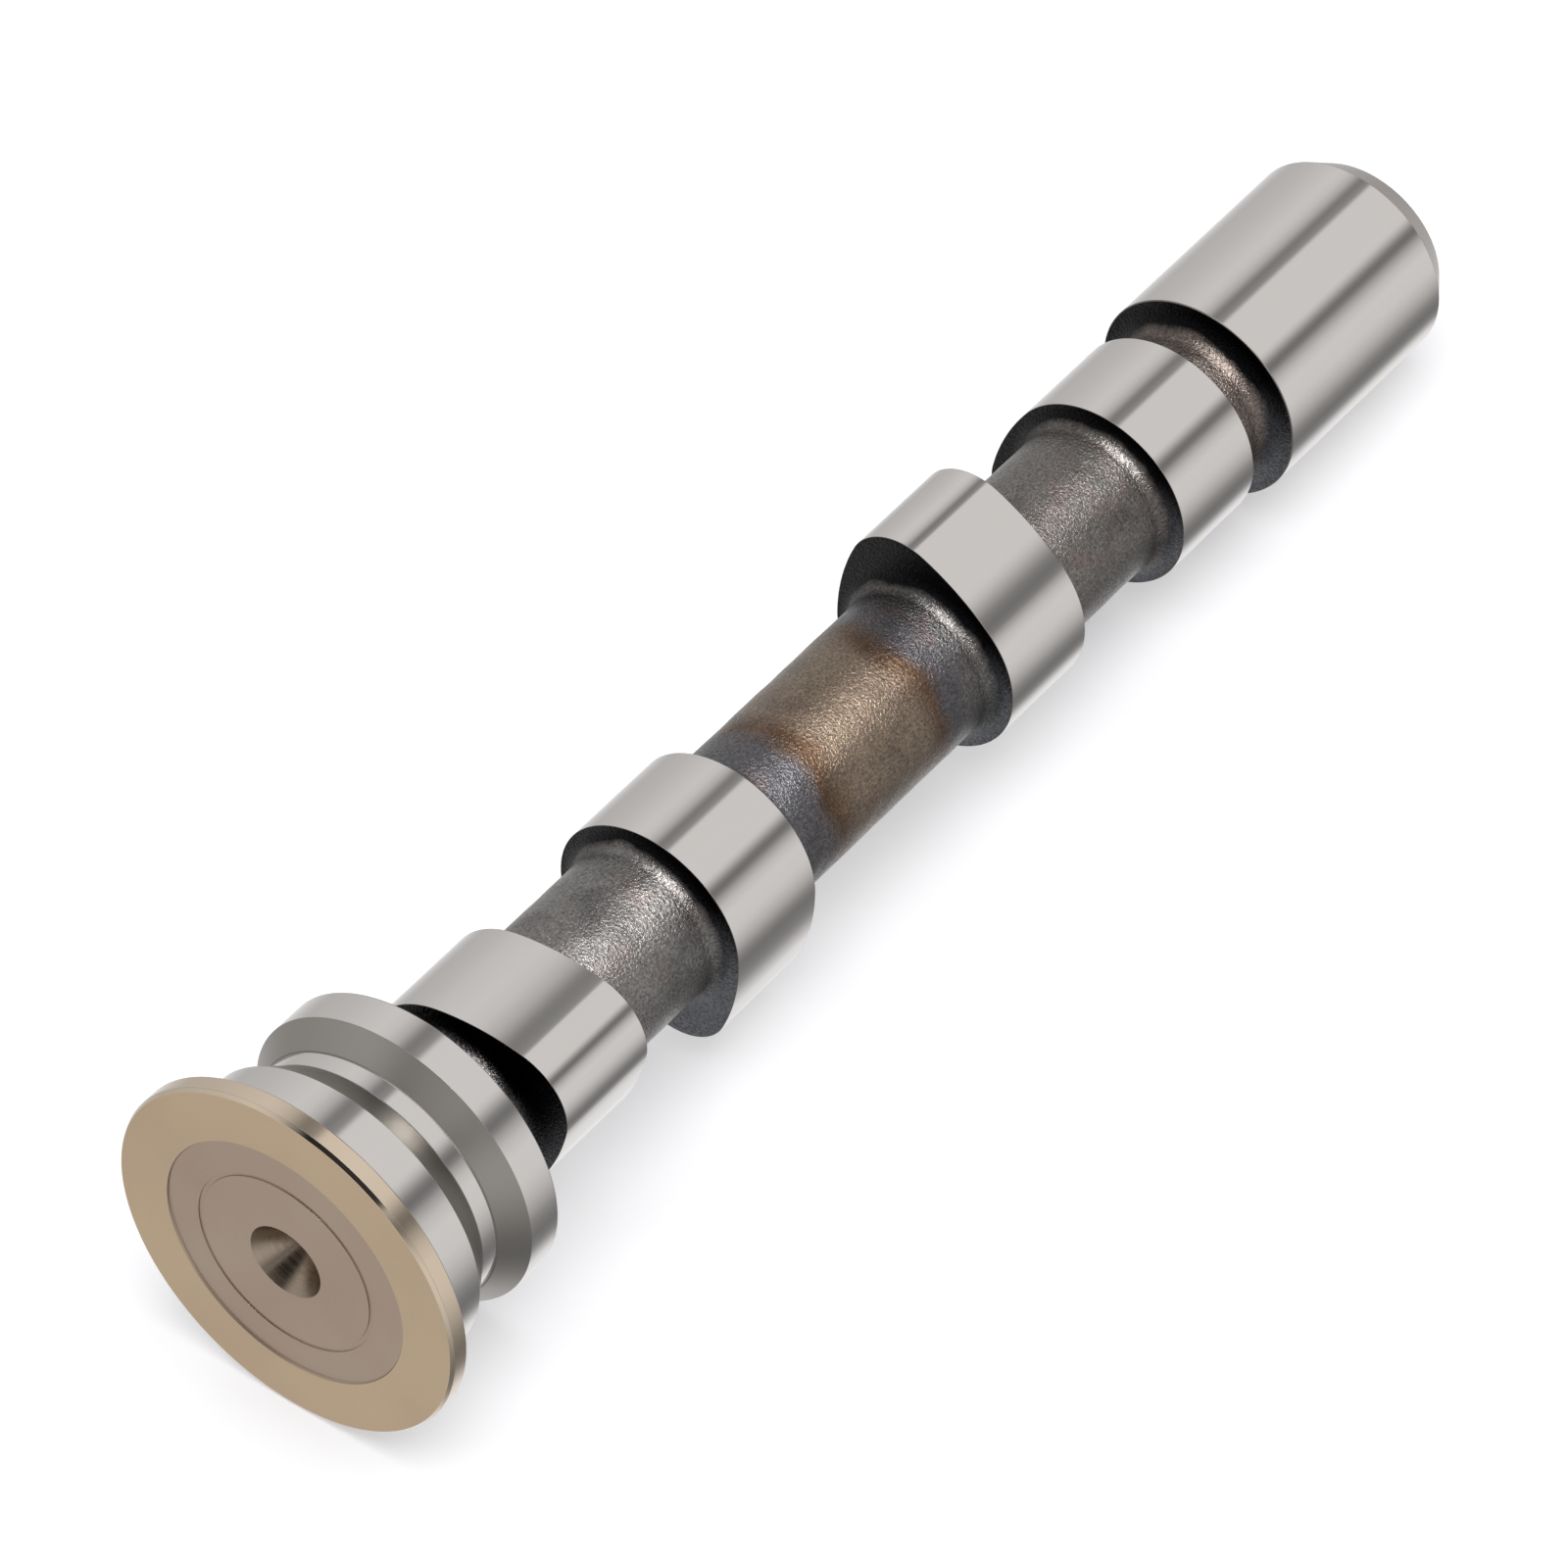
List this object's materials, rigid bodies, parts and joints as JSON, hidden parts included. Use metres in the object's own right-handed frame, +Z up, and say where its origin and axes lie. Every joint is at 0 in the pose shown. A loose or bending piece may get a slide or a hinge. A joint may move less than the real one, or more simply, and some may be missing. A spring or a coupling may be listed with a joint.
{
  "type": "camshaft",
  "caption": "One-piece cast camshaft with a thin thrust flange, a large oil-grooved front journal, pairs of cam lobes on a slim core and a plain rear journal.",
  "frame": {"origin": "centre of the flange's front face, on the shaft's axis", "axes": "+X along the shaft from the flange to the rear journal, +Z up as the shaft lies with its lobes turned as in the picture, +Y completing the right-handed set"},
  "size_m": [0.2269, 0.0504, 0.0505],
  "materials": {
    "chilled_iron": "as cast on the core and the lobes' sides, ground bright on the journals and the lobes, turned on the flange"
  },
  "bodies": {
    "root": {"camshaft": "chilled_iron"}
  },
  "joints": []
}
